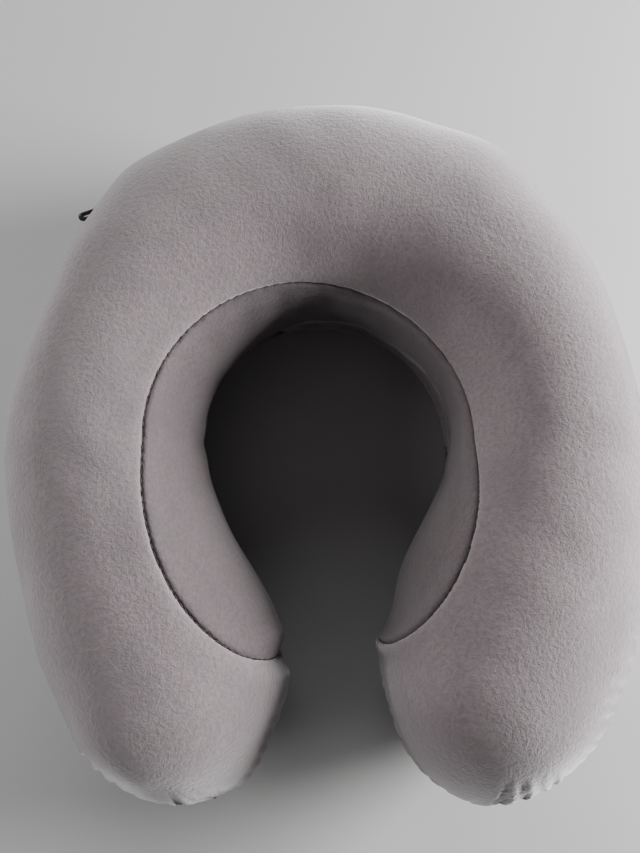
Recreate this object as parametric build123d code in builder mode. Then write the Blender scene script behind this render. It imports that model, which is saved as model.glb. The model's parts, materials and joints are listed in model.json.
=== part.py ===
from build123d import *
from math import asin, atan2, cos, degrees, hypot, radians, sin
import os

os.makedirs("parts", exist_ok=True)

# U-shaped neck pillow. +Z is up and the underside lies at z = 0. +Y points to the closed back.
# The arms reach towards -Y, and the origin is under the middle of the overall size.

# Overall shape, in plan and in height
height = 108.0
back_radius = 141.0
back_end_angle = 15.0
neck_radius = 58.0
neck_offset = 20.0
lobe_radius = 50.5
lobe_x = 71.5
lobe_reach = 127.0
largest_top_shoulder = 41.0
base_shoulder = 32.0

# Layers, from the outside in
cover_wall = 4.2
liner_wall = 0.8
layer_clearance = 0.2

# Sewn seams between the cover panels
seam_gap = 0.9
thread_width = 0.5
thread_depth = 0.7
thread_sink = 0.6
neck_panel_reach = 10.5
neck_panel_forward = 4.0
neck_panel_straight = 11.0
neck_panel_front_reach = 6.5
neck_panel_shift = -5.0

# Zipper in the back seam. Depths are measured inwards from the outer face of the cover.
zipper_length = 231.0
slot_half_height = 4.5
hem_depth = 2.2
tape_depth = 2.4
tape_wall = 0.5
tape_reach = 12.5
tape_edge = 0.7
coil_depth = 0.9
coil_wall = 1.4
coil_reach = 3.0
coil_edge = 0.65
tooth_pitch = 2.4
tooth_width = 1.3
tack_width = 2.4
tack_wall = 0.6
end_clearance = 0.6
stitch_offset = 2.6
stitch_groove = 0.7
stitch_width = 0.4

# Slider and pull tab
slider_length = 12.0
slider_width = 8.4
plate_wall = 1.0
plate_clearance = 0.2
under_plate_wall = 0.9
under_plate_clearance = 0.3
flange_wall = 0.9
flange_drop = 1.2
post_width = 0.8
post_length = 2.6
bridge_width = 2.2
bridge_leg = 1.4
bridge_roof = 0.9
bar_diameter = 1.2
bar_clearance = 0.15
bar_slack = 0.4
pull_length = 26.0
pull_width = 6.8
window_length = 3.2
window_clearance = 0.3
pull_slot_length = 10.0
pull_slot_width = 2.6
pull_slot_end = 2.2
pull_rest_swing = 24.0
rounding = 0.3

# Plan geometry: a back arc, an arm arc tangent to it and a lobe arc tangent to that
back_y = (lobe_reach + lobe_radius - back_radius) / 2
neck_y = back_y - neck_offset
lobe_y = back_y - lobe_reach
slack = back_radius - lobe_radius
arm_step = (lobe_x**2 + lobe_reach**2 - slack**2) / (
    2 * (slack - lobe_x * cos(radians(back_end_angle)) + lobe_reach * sin(radians(back_end_angle)))
)
arm_radius = back_radius + arm_step
arm_x = -arm_step * cos(radians(back_end_angle))
arm_y = back_y - arm_step * sin(radians(back_end_angle))
arm_end_angle = degrees(atan2(lobe_y - arm_y, lobe_x - arm_x))
spread = hypot(lobe_x, lobe_y - neck_y)
wall_lean = degrees(asin((neck_radius + lobe_radius) / spread) - atan2(lobe_x, neck_y - lobe_y))
arm_width = arm_radius - hypot(arm_x, arm_y - neck_y) - neck_radius

# The outer wall stays upright over the height of the zipper tapes
tape_margin = 2.0
zipper_band = 2 * (tape_reach + tape_margin)
top_shoulder = min(
    largest_top_shoulder, arm_width / 2 - 2, lobe_radius - 2, height - base_shoulder - zipper_band
)
seam_height = (base_shoulder + height - top_shoulder) / 2

# Depth of each layer's outer face
liner_depth = cover_wall + layer_clearance
core_depth = liner_depth + liner_wall + layer_clearance

# Zipper angles, measured from +Y
zipper_half_angle = degrees(zipper_length / 2 / back_radius)
tack_angle = degrees(tack_width / back_radius)
slider_half_angle = degrees(slider_length / 2 / back_radius)
end_gap_angle = degrees(end_clearance / back_radius)
slider_rest_angle = zipper_half_angle - tack_angle - slider_half_angle - end_gap_angle
slider_travel = 2 * slider_rest_angle
chain_half_angle = zipper_half_angle - tack_angle - end_gap_angle


def plan_face(inset):
    """The U in plan, every side moved inwards by the inset."""
    with BuildSketch() as plan:
        with BuildLine():
            CenterArc((0, back_y), back_radius - inset, back_end_angle, 180 - 2 * back_end_angle)
            neck = CenterArc((0, neck_y), neck_radius + inset, -wall_lean, 180 + 2 * wall_lean)
            arm = CenterArc((arm_x, arm_y), arm_radius - inset, back_end_angle, arm_end_angle - back_end_angle)
            lobe = CenterArc(
                (lobe_x, lobe_y), lobe_radius - inset, arm_end_angle, -(180 + wall_lean + arm_end_angle)
            )
            wall = Line(lobe @ 1, neck @ 0)
            mirror([arm, lobe, wall], about=Plane.YZ)
        make_face()
    return plan.sketch


def pillow_form(inset):
    """The whole rounded pillow, every face moved inwards by the inset."""
    with BuildPart() as form:
        with BuildSketch(Plane.XY.offset(inset)):
            add(plan_face(inset))
        extrude(amount=height - 2 * inset)
        top_edges = form.faces().sort_by(Axis.Z)[-1].outer_wire().edges()
        base_edges = form.faces().sort_by(Axis.Z)[0].outer_wire().edges()
        fillet(top_edges, top_shoulder - inset)
        fillet(base_edges, base_shoulder - inset)
    return form.part


def back_band(depth, wall, low, high, from_angle, to_angle):
    """A curved bar along the upright back wall. Angles are measured from +Y towards -X."""
    with BuildPart() as band:
        with BuildSketch(Plane.XY.offset(seam_height + low)):
            with BuildLine():
                outer = CenterArc((0, back_y), back_radius - depth, 90 + from_angle, to_angle - from_angle)
                inner = CenterArc((0, back_y), back_radius - depth - wall, 90 + from_angle, to_angle - from_angle)
                Line(outer @ 0, inner @ 0)
                Line(outer @ 1, inner @ 1)
            make_face()
        extrude(amount=high - low)
    return band.part


def neck_column(growth):
    """An upright column whose wall is the seam line of the neck panel: round behind, oval in front."""
    seam_radius = neck_radius + neck_panel_reach + growth
    round_y = neck_y - neck_panel_forward
    oval_y = round_y - neck_panel_straight
    oval_length = oval_y - lobe_y - neck_panel_front_reach + growth
    with BuildPart() as column:
        with BuildSketch():
            with BuildLine():
                back = CenterArc((neck_panel_shift, round_y), seam_radius, 0, 180)
                front = EllipticalCenterArc((neck_panel_shift, oval_y), seam_radius, oval_length, 180, arc_size=180)
                Line(back @ 0, front @ 1)
                Line(back @ 1, front @ 0)
            make_face()
        extrude(amount=height)
    return column.part


def seam_slab(thickness):
    """A flat slab through the outer edge seam."""
    with BuildPart(Plane.XY.offset(seam_height)) as slab:
        Box(4 * back_radius, 4 * back_radius, thickness)
    return slab.part


def half_space(upper):
    """Everything above or below the outer edge seam."""
    base = seam_height if upper else -height
    with BuildPart(Plane.XY.offset(base)) as block:
        Box(4 * back_radius, 4 * back_radius, height + seam_height, align=(Align.CENTER, Align.CENTER, Align.MIN))
    return block.part


def save(piece, name):
    piece.part.label = name
    export_step(piece.part, f"parts/{name}.step")


# Foam core
with BuildPart() as foam_core:
    add(pillow_form(core_depth))
save(foam_core, "foam_core")

# Knitted liner around the core
with BuildPart() as inner_liner:
    add(pillow_form(liner_depth))
    add(pillow_form(liner_depth + liner_wall), mode=Mode.SUBTRACT)
save(inner_liner, "inner_liner")

# Velour cover before it is divided into panels, with thin hems along the zipper slot
with BuildPart() as cover_shell:
    add(pillow_form(0))
    add(pillow_form(cover_wall), mode=Mode.SUBTRACT)
    add(
        back_band(
            hem_depth, cover_wall - hem_depth + layer_clearance, -tape_reach - tape_margin / 2,
            tape_reach + tape_margin / 2, -zipper_half_angle - tack_angle, zipper_half_angle + tack_angle,
        ),
        mode=Mode.SUBTRACT,
    )
    add(
        back_band(
            -1, cover_wall + 2, -slot_half_height, slot_half_height, -zipper_half_angle, zipper_half_angle
        ),
        mode=Mode.SUBTRACT,
    )
    for side in (-1, 1):
        row = side * (slot_half_height + stitch_offset)
        add(
            back_band(
                -1, 1 + stitch_groove, row - stitch_groove / 2, row + stitch_groove / 2,
                -zipper_half_angle, zipper_half_angle,
            ),
            mode=Mode.SUBTRACT,
        )

with BuildPart() as cover_neck_panel:
    add(pillow_form(0))
    add(neck_column(-seam_gap / 2), mode=Mode.INTERSECT)
    add(pillow_form(cover_wall), mode=Mode.SUBTRACT)
save(cover_neck_panel, "cover_neck_panel")

with BuildPart() as outer_cover:
    add(cover_shell.part)
    add(neck_column(seam_gap / 2), mode=Mode.SUBTRACT)
    add(seam_slab(seam_gap), mode=Mode.SUBTRACT)

with BuildPart() as cover_top_panel:
    add(outer_cover.part)
    add(half_space(True), mode=Mode.INTERSECT)
save(cover_top_panel, "cover_top_panel")

with BuildPart() as cover_base_panel:
    add(outer_cover.part)
    add(half_space(False), mode=Mode.INTERSECT)
save(cover_base_panel, "cover_base_panel")

# Sewing thread of the neck panel, above and below the outer edge seam
with BuildPart() as neck_seam:
    add(pillow_form(thread_sink))
    add(neck_column(thread_width / 2), mode=Mode.INTERSECT)
    add(neck_column(-thread_width / 2), mode=Mode.SUBTRACT)
    add(pillow_form(thread_sink + thread_depth), mode=Mode.SUBTRACT)
    add(seam_slab(seam_gap + thread_width), mode=Mode.SUBTRACT)
for name, upper in (("neck_seam_thread_upper", True), ("neck_seam_thread_lower", False)):
    with BuildPart() as neck_seam_thread:
        add(neck_seam.part)
        add(half_space(upper), mode=Mode.INTERSECT)
    save(neck_seam_thread, name)

# Sewing thread of the outer edge seam, from the neck panel round each arm to the zipper
with BuildPart() as edge_seam_thread:
    add(pillow_form(thread_sink))
    add(seam_slab(thread_width), mode=Mode.INTERSECT)
    add(pillow_form(thread_sink + thread_depth), mode=Mode.SUBTRACT)
    add(neck_column(seam_gap), mode=Mode.SUBTRACT)
    add(
        back_band(
            -1, cover_wall + 2, -slot_half_height, slot_half_height,
            -zipper_half_angle - end_gap_angle, zipper_half_angle + end_gap_angle,
        ),
        mode=Mode.SUBTRACT,
    )
save(edge_seam_thread, "edge_seam_thread")

# Zipper tapes, their coils and the thread rows that sew them to the hems
for name, side in (("upper", 1), ("lower", -1)):
    with BuildPart() as zipper_tape:
        add(
            back_band(
                tape_depth, tape_wall, *sorted((side * tape_edge, side * tape_reach)),
                -zipper_half_angle, zipper_half_angle,
            )
        )
    save(zipper_tape, f"zipper_tape_{name}")

    tooth_angle = degrees(tooth_pitch / back_radius)
    tooth_half_angle = degrees(tooth_width / 2 / back_radius)
    tooth_count = int(2 * (chain_half_angle - tooth_half_angle) / tooth_angle)
    row_angle = tooth_angle * (tooth_count - 1)
    first_angle = -row_angle / 2 + side * tooth_angle / 4
    coil_middle = coil_depth + coil_wall / 2
    tooth_height = coil_reach - coil_edge
    with BuildPart() as zipper_coil:
        with Locations((0, back_y, seam_height + side * (coil_edge + tooth_height / 2))):
            with PolarLocations(
                back_radius - coil_middle, tooth_count, 90 + first_angle, row_angle, endpoint=True
            ):
                Box(coil_wall, tooth_width, tooth_height)
    save(zipper_coil, f"zipper_coil_{name}")

    row = side * (slot_half_height + stitch_offset)
    with BuildPart() as zipper_stitching:
        add(
            back_band(
                (stitch_groove - stitch_width) / 2, stitch_width, row - stitch_width / 2, row + stitch_width / 2,
                -zipper_half_angle + end_gap_angle, zipper_half_angle - end_gap_angle,
            )
        )
    save(zipper_stitching, f"zipper_stitching_{name}")

# Thread tacks across both ends of the chain
for name, side in (("left", 1), ("right", -1)):
    with BuildPart() as zipper_end_tack:
        add(
            back_band(
                tape_depth - tack_wall - end_clearance / 4, tack_wall, -coil_reach, coil_reach,
                *sorted((side * (zipper_half_angle - tack_angle), side * (zipper_half_angle - end_gap_angle))),
            )
        )
    save(zipper_end_tack, f"zipper_end_tack_{name}")

# Slider at rest. Its plane looks outwards, local x runs along the zipper to the left end.
rest_direction = 90 + slider_rest_angle
outward = (cos(radians(rest_direction)), sin(radians(rest_direction)), 0)
along = (-sin(radians(rest_direction)), cos(radians(rest_direction)), 0)


def slider_plane(depth):
    """The plane of the slider at a depth inside the outer face of the cover."""
    reach = back_radius - depth
    return Plane(
        origin=(reach * outward[0], back_y + reach * outward[1], seam_height), x_dir=along, z_dir=outward
    )


plate_inner = coil_depth - plate_clearance
plate_outer = plate_inner - plate_wall
under_plate_outer = tape_depth + tape_wall + under_plate_clearance
bar_depth = plate_outer - bar_clearance - bar_diameter / 2
roof_inner = bar_depth - bar_diameter / 2 - bar_clearance
leg_start = bar_diameter / 2 + bar_slack
post_x = slider_length / 2 - post_length / 2
bar_place = slider_plane(bar_depth).origin

with BuildPart() as zipper_slider_body:
    with BuildSketch(slider_plane(plate_inner)):
        RectangleRounded(slider_length, slider_width, slider_width / 3)
    extrude(amount=plate_wall)
    with BuildSketch(slider_plane(under_plate_outer + under_plate_wall)):
        RectangleRounded(slider_length, slider_width, slider_width / 3)
    extrude(amount=under_plate_wall)
    with BuildSketch(slider_plane(plate_inner + flange_drop)):
        with Locations((0, slider_width / 2 - flange_wall / 2), (0, flange_wall / 2 - slider_width / 2)):
            Rectangle(slider_length - 2 * slider_width / 3, flange_wall)
    extrude(amount=flange_drop + plate_wall / 2)
    with BuildSketch(slider_plane(under_plate_outer + under_plate_wall / 2)):
        with Locations((-post_x, 0)):
            Rectangle(post_length, post_width)
    extrude(amount=under_plate_outer - plate_inner + under_plate_wall / 2 + plate_wall / 2)
    with BuildSketch(slider_plane(plate_outer + plate_wall / 2)):
        with Locations((leg_start + bridge_leg / 2, 0), (-leg_start - bridge_leg / 2, 0)):
            Rectangle(bridge_leg, bridge_width)
    extrude(amount=plate_outer + plate_wall / 2 - roof_inner + bridge_roof)
    with BuildSketch(slider_plane(roof_inner)):
        Rectangle(2 * leg_start + 2 * bridge_leg, bridge_width)
    extrude(amount=bridge_roof)
save(zipper_slider_body, "zipper_slider_body")

# Pull tab hanging a little away from the zipper line, its bar inside the slider's bridge
pull_direction = rest_direction - pull_rest_swing
pull_outward = (cos(radians(pull_direction)), sin(radians(pull_direction)), 0)
pull_along = (-sin(radians(pull_direction)), cos(radians(pull_direction)), 0)
pull_plane = Plane(origin=bar_place, x_dir=pull_along, z_dir=pull_outward).offset(-bar_diameter / 2)

with BuildPart() as zipper_pull_tab:
    with BuildSketch(pull_plane):
        with Locations((pull_length / 2, 0)):
            Rectangle(pull_length, pull_width)
        with Locations((window_length / 2, 0)):
            Rectangle(window_length, bridge_width + 2 * window_clearance, mode=Mode.SUBTRACT)
        with Locations((pull_length - pull_slot_end - pull_slot_length / 2, 0)):
            SlotOverall(pull_slot_length, pull_slot_width, mode=Mode.SUBTRACT)
    extrude(amount=bar_diameter)
    free_corners = zipper_pull_tab.edges().filter_by(Axis(origin=(0, 0, 0), direction=pull_outward))
    free_end = free_corners.sort_by(Axis(origin=(0, 0, 0), direction=pull_along))[-2:]
    fillet(free_end, pull_width / 2 - rounding)
    with BuildSketch(Plane.XY.offset(seam_height - pull_width / 2)):
        with Locations((bar_place.X, bar_place.Y)):
            Circle(bar_diameter / 2)
    extrude(amount=pull_width)
save(zipper_pull_tab, "zipper_pull_tab")
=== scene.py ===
import bpy
import bmesh
import json
import math
import numpy as np
from mathutils import Matrix, Vector, kdtree, noise
from mathutils.bvhtree import BVHTree


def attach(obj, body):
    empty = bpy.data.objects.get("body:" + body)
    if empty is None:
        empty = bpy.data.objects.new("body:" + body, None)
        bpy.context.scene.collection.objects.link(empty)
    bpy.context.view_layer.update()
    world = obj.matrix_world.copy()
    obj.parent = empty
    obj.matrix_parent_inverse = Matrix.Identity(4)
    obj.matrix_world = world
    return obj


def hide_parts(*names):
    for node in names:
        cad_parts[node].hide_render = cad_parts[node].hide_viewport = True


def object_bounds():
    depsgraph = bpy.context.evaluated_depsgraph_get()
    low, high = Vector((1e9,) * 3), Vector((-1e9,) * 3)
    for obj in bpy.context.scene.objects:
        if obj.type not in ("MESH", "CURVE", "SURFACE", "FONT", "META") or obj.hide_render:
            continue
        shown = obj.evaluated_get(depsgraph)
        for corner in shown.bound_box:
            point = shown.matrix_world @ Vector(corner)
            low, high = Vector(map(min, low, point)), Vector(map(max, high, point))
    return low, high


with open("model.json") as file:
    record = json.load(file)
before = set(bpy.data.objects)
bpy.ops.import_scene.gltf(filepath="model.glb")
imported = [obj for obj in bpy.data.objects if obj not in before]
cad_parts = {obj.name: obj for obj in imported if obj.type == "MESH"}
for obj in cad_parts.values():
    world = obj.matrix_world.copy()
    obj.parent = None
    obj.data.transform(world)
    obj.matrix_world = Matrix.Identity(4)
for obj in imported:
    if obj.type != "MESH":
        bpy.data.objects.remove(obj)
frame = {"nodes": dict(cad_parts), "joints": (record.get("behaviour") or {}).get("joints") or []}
cad_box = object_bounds()
bpy.ops.object.select_all(action="DESELECT")

MM = 0.001

# Sizes read from the frame
joints = {joint["name"]: joint for joint in frame["joints"]}
slider_joint = joints["zipper_slider_travel"]
pull_joint = joints["pull_tab_swing"]
low_corner, high_corner = Vector(cad_box[0]), Vector(cad_box[1])
HEIGHT = high_corner.z
BACK_Y = slider_joint["pos_m"][1]
SEAM_Z = slider_joint["pos_m"][2]
BACK_RADIUS = high_corner.y - BACK_Y

# Plan of the pillow, as the foam is cut
BACK_END_ANGLE = math.radians(15)
NECK_RADIUS = 58 * MM
NECK_Y = BACK_Y - 20 * MM
LOBE_RADIUS = 50.5 * MM
LOBE_X = 71.5 * MM
LOBE_Y = low_corner.y + LOBE_RADIUS
LOBE_REACH = BACK_Y - LOBE_Y
radius_slack = BACK_RADIUS - LOBE_RADIUS
arm_step = (LOBE_X**2 + LOBE_REACH**2 - radius_slack**2) / (
    2 * (radius_slack - LOBE_X * math.cos(BACK_END_ANGLE) + LOBE_REACH * math.sin(BACK_END_ANGLE))
)
ARM_RADIUS = BACK_RADIUS + arm_step
ARM_X = -arm_step * math.cos(BACK_END_ANGLE)
ARM_Y = BACK_Y - arm_step * math.sin(BACK_END_ANGLE)
ARM_END_ANGLE = math.atan2(LOBE_Y - ARM_Y, LOBE_X - ARM_X)
WALL_LEAN = math.asin((NECK_RADIUS + LOBE_RADIUS) / math.hypot(LOBE_X, LOBE_Y - NECK_Y)) - math.atan2(
    LOBE_X, NECK_Y - LOBE_Y
)

# Neck panel: the line of its seam seen from above
PANEL_RADIUS = NECK_RADIUS + 10.5 * MM
PANEL_SHIFT = -5 * MM
PANEL_ROUND_Y = NECK_Y - 4 * MM
PANEL_OVAL_Y = PANEL_ROUND_Y - 11 * MM
PANEL_OVAL_LENGTH = PANEL_OVAL_Y - LOBE_Y - 6.5 * MM

# Zipper and the opening that it fills
ZIP_HALF_ANGLE = 115.5 * MM / BACK_RADIUS
SLOT_HALF = 4.5 * MM
SLOT_TAPER = 5 * MM
BACK_BAND = 30 * MM

# Sections of the sewn form and the spacing of its mesh
MEAN_HALF_WIDTH = 46 * MM
TOP_ROUNDNESS = 2.35
BASE_ROUNDNESS = 2.75
STATION_STEP = 3.1 * MM
RING_POINTS = 100
SECTION_SAMPLES = 2001


def ray_hit(x, y, dx, dy, centre_x, centre_y, radius):
    """Distance from a point along a unit direction to the far side of a circle."""
    along = dx * (x - centre_x) + dy * (y - centre_y)
    outside = (x - centre_x) ** 2 + (y - centre_y) ** 2 - radius**2
    return -along + math.sqrt(max(along**2 - outside, 0))


def outer_distance(x, y, dx, dy):
    """Distance from an inner wall point straight across the foam to its outer wall."""
    back = ray_hit(x, y, dx, dy, 0, BACK_Y, BACK_RADIUS)
    if math.atan2(y + back * dy - BACK_Y, x + back * dx) >= BACK_END_ANGLE:
        return back
    arm = ray_hit(x, y, dx, dy, ARM_X, ARM_Y, ARM_RADIUS)
    if math.atan2(y + arm * dy - ARM_Y, x + arm * dx - ARM_X) >= ARM_END_ANGLE:
        return arm
    return ray_hit(x, y, dx, dy, LOBE_X, LOBE_Y, LOBE_RADIUS)


def half_stations():
    """Cross-sections from the middle of the back round the right arm to its tip.

    Each one is (middle x, middle y, across x, across y, half width, forward offset in the lobe)."""
    rows = []
    turn = math.pi / 2 + WALL_LEAN
    mid_radius = NECK_RADIUS + MEAN_HALF_WIDTH
    count = round(turn * mid_radius / STATION_STEP)
    for i in range(count):
        angle = turn * i / count
        dx, dy = math.sin(angle), math.cos(angle)
        x, y = NECK_RADIUS * dx, NECK_Y + NECK_RADIUS * dy
        half = outer_distance(x, y, dx, dy) / 2
        rows.append((x + half * dx, y + half * dy, dx, dy, half, 0.0))
    dx, dy = math.cos(WALL_LEAN), -math.sin(WALL_LEAN)
    fx, fy = -math.sin(WALL_LEAN), -math.cos(WALL_LEAN)
    start = (NECK_RADIUS * dx, NECK_Y + NECK_RADIUS * dy)
    wall_length = (LOBE_X - LOBE_RADIUS * dx - start[0]) * fx + (LOBE_Y - LOBE_RADIUS * dy - start[1]) * fy
    count = round(wall_length / STATION_STEP)
    for i in range(count):
        travel = wall_length * i / count
        x, y = start[0] + travel * fx, start[1] + travel * fy
        half = outer_distance(x, y, dx, dy) / 2
        rows.append((x + half * dx, y + half * dy, dx, dy, half, 0.0))
    count = round(math.pi / 2 * LOBE_RADIUS / STATION_STEP)
    for i in range(count):
        angle = math.pi / 2 * i / count
        ahead = LOBE_RADIUS * math.sin(angle)
        rows.append((LOBE_X + ahead * fx, LOBE_Y + ahead * fy, dx, dy, LOBE_RADIUS * math.cos(angle), ahead))
    return rows


def crown_height(share, upper):
    """Height above or below the edge seam, at a share of the half width from the middle."""
    power = TOP_ROUNDNESS if upper else BASE_ROUNDNESS
    reach = HEIGHT - SEAM_Z if upper else SEAM_Z
    return reach * max(1 - abs(share) ** power, 0.0) ** (1 / power)


def ring_shares():
    """Places round a cross-section, evenly spaced, as (share of the half width, upper half or not).

    They start at the outer edge seam, go over the top to the inner edge seam and back underneath."""
    shares = []
    for upper in (True, False):
        angles = np.linspace(0, math.pi, SECTION_SAMPLES)
        power = TOP_ROUNDNESS if upper else BASE_ROUNDNESS
        across = np.sign(np.cos(angles)) * np.abs(np.cos(angles)) ** (2 / power)
        heights = np.array([crown_height(a, upper) for a in across])
        steps = np.hypot(np.diff(across * MEAN_HALF_WIDTH), np.diff(heights))
        length = np.concatenate([[0], np.cumsum(steps)])
        even = np.linspace(0, length[-1], RING_POINTS // 2 + 1)[:-1]
        picked = np.interp(even, length, across)
        if not upper:
            picked = -picked
        shares += [(float(a), upper) for a in picked]
    return shares


def new_object(name, data):
    """An object in the scene that shows a mesh, curve, light or camera."""
    thing = bpy.data.objects.new(name, data)
    bpy.context.scene.collection.objects.link(thing)
    return thing


def smooth_faces(mesh):
    for face in mesh.polygons:
        face.use_smooth = True


def build_form():
    """The sewn form as one closed mesh of rings from the left tip round the back to the right tip."""
    right = half_stations()
    left = [(-x, y, -dx, dy, half, ahead) for x, y, dx, dy, half, ahead in right]
    rings = left[:0:-1] + right
    shares = ring_shares()
    points = []
    for x, y, dx, dy, half, ahead in rings:
        full = math.hypot(half, ahead) if ahead else half
        for share, upper in shares:
            across = share * half
            radial = math.hypot(across, ahead) / full
            rise = crown_height(radial, upper)
            points.append((x + across * dx, y + across * dy, SEAM_Z + (rise if upper else -rise)))
    ring_size = len(shares)
    fx, fy = -math.sin(WALL_LEAN), -math.cos(WALL_LEAN)
    left_tip, right_tip = len(points), len(points) + 1
    for side in (-1, 1):
        points.append((side * (LOBE_X + LOBE_RADIUS * fx), LOBE_Y + LOBE_RADIUS * fy, SEAM_Z))
    faces = []
    for ring in range(len(rings) - 1):
        for k in range(ring_size):
            a = ring * ring_size + k
            b = ring * ring_size + (k + 1) % ring_size
            faces.append((a, b, b + ring_size, a + ring_size))
    last = (len(rings) - 1) * ring_size
    for k in range(ring_size):
        following = (k + 1) % ring_size
        faces.append((left_tip, following, k))
        faces.append((right_tip, last + k, last + following))
    mesh = bpy.data.meshes.new("sewn_form")
    mesh.from_pydata(points, [], faces)
    form = new_object("sewn_form", mesh)
    bm = bmesh.new()
    bm.from_mesh(mesh)
    bmesh.ops.recalc_face_normals(bm, faces=bm.faces)
    bm.to_mesh(mesh)
    bm.free()
    return form


def mesh_points(mesh):
    points = np.empty(len(mesh.vertices) * 3)
    mesh.vertices.foreach_get("co", points)
    return points.reshape(-1, 3)


def mesh_normals(mesh):
    normals = np.empty(len(mesh.vertices) * 3)
    mesh.vertices.foreach_get("normal", normals)
    return normals.reshape(-1, 3)


def place_points(mesh, points):
    mesh.vertices.foreach_set("co", np.ascontiguousarray(points, dtype=np.float32).ravel())
    mesh.update()


def smooth_step(value):
    held = np.clip(value, 0.0, 1.0)
    return held * held * (3 - 2 * held)


# Least squared slope that a length along the cloth is worked out with
LEAST_SLOPE = 0.02


def neck_field(points):
    """Distance from the neck panel's seam line seen from above, negative inside the panel."""
    x = points[:, 0] - PANEL_SHIFT
    y = points[:, 1]
    round_part = np.hypot(x, y - PANEL_ROUND_Y) - PANEL_RADIUS
    straight_part = np.abs(x) - PANEL_RADIUS
    ox, oy = x / PANEL_RADIUS, (y - PANEL_OVAL_Y) / PANEL_OVAL_LENGTH
    size = np.maximum(np.hypot(ox, oy), 1e-6)
    slope = np.hypot(ox / PANEL_RADIUS, oy / PANEL_OVAL_LENGTH) / size
    oval_part = (size - 1) / np.maximum(slope, 1e-6)
    return np.where(y > PANEL_ROUND_Y, round_part, np.where(y > PANEL_OVAL_Y, straight_part, oval_part))


def neck_slope(points, normals):
    """How fast the neck field grows along the cloth, so that it can be turned into a length on it."""
    x = points[:, 0] - PANEL_SHIFT
    y = points[:, 1]
    gx = np.where(y > PANEL_OVAL_Y, x, x / PANEL_RADIUS**2)
    below_round = np.where(y > PANEL_OVAL_Y, 0, (y - PANEL_OVAL_Y) / PANEL_OVAL_LENGTH**2)
    gy = np.where(y > PANEL_ROUND_Y, y - PANEL_ROUND_Y, below_round)
    size = np.maximum(np.hypot(gx, gy), 1e-9)
    facing = (gx * normals[:, 0] + gy * normals[:, 1]) / size
    return np.sqrt(np.maximum(1 - facing**2, LEAST_SLOPE))


def slot_gap(points):
    """Half height of the opening that the zipper fills, and 0 away from it."""
    angle = np.abs(np.arctan2(points[:, 0], points[:, 1] - BACK_Y))
    outside = np.hypot(points[:, 0], points[:, 1] - BACK_Y) > BACK_RADIUS - BACK_BAND
    taper = smooth_step((ZIP_HALF_ANGLE - angle) * BACK_RADIUS / SLOT_TAPER)
    return np.where(outside, SLOT_HALF * taper, 0.0)


def seam_distance(points, normals):
    """Length on the cloth from each point to the nearest seam."""
    neck = np.abs(neck_field(points)) / neck_slope(points, normals)
    edge = np.abs(np.abs(points[:, 2] - SEAM_Z) - slot_gap(points))
    edge = edge / np.sqrt(np.maximum(1 - normals[:, 2] ** 2, LEAST_SLOPE))
    return np.where(neck_field(points) < 0, neck, np.minimum(neck, edge))


# Cloth simulation: how far the form shrinks first, what is held, how far the cloth may then move
CLOTH_FRAMES = 20
CLOTH_REACH = 3.6 * MM
CLOTH_PRESSURE = 20
EASING_PASSES = 8
SHRINK = 2.4 * MM
SHRINK_BAND = 16 * MM
SEWN_BAND = 1.7 * MM
RESTING_HEIGHT = 1.5 * MM
STEADY_BAND = 7 * MM


def eased(mesh, moves, passes):
    """Moves of the cloth averaged with their neighbours: dense foam lets no sharp wrinkle form."""
    edges = np.empty(len(mesh.edges) * 2, dtype=np.int64)
    mesh.edges.foreach_get("vertices", edges)
    first, second = edges.reshape(-1, 2).T
    count = np.bincount(edges, minlength=len(moves))[:, None]
    for _ in range(passes):
        total = np.zeros_like(moves)
        np.add.at(total, first, moves[second])
        np.add.at(total, second, moves[first])
        moves = (moves + total / count) / 2
    return moves


def inflate(form):
    """Cloth simulation of the cover over its foam: held along its seams, blown up between them."""
    mesh = form.data
    points, normals = mesh_points(mesh), mesh_normals(mesh)
    distance = seam_distance(points, normals)
    off_table = smooth_step((points[:, 2] - 2 * MM) / (12 * MM))
    shrink = SHRINK * smooth_step(distance / SHRINK_BAND) * off_table
    start = points - normals * shrink[:, None]
    place_points(mesh, start)
    sewn = form.vertex_groups.new(name="sewn")
    held = np.nonzero((distance < SEWN_BAND) | (points[:, 2] < RESTING_HEIGHT))[0]
    sewn.add([int(i) for i in held], 1.0, "REPLACE")
    bpy.context.view_layer.objects.active = form
    form.select_set(True)
    bpy.ops.object.modifier_add(type="CLOTH")
    cloth = form.modifiers[-1]
    settings = cloth.settings
    settings.quality = 5
    settings.mass = 0.01
    settings.shrink_min = -0.006
    settings.tension_stiffness = 18
    settings.compression_stiffness = 12
    settings.shear_stiffness = 8
    settings.bending_stiffness = 1.5
    settings.use_pressure = True
    settings.uniform_pressure_force = CLOTH_PRESSURE
    settings.effector_weights.gravity = 0
    settings.vertex_group_mass = "sewn"
    cloth.point_cache.frame_start = 1
    cloth.point_cache.frame_end = CLOTH_FRAMES
    for step in range(1, CLOTH_FRAMES + 1):
        bpy.context.scene.frame_set(step)
    bpy.ops.object.modifier_apply(modifier=cloth.name)
    bpy.context.scene.frame_set(1)
    moved = eased(form.data, mesh_points(form.data) - start, EASING_PASSES)
    moved = normals * np.sum(moved * normals, axis=1)[:, None]
    length = np.maximum(np.linalg.norm(moved, axis=1), 1e-9)
    held_back = CLOTH_REACH * (1 - np.exp(-length / CLOTH_REACH)) / length
    loose = smooth_step(distance / STEADY_BAND)
    moved *= (held_back * loose)[:, None]
    moved += normals * (shrink * (1 - loose))[:, None]
    place_points(form.data, start + moved)
    form.select_set(False)


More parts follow.
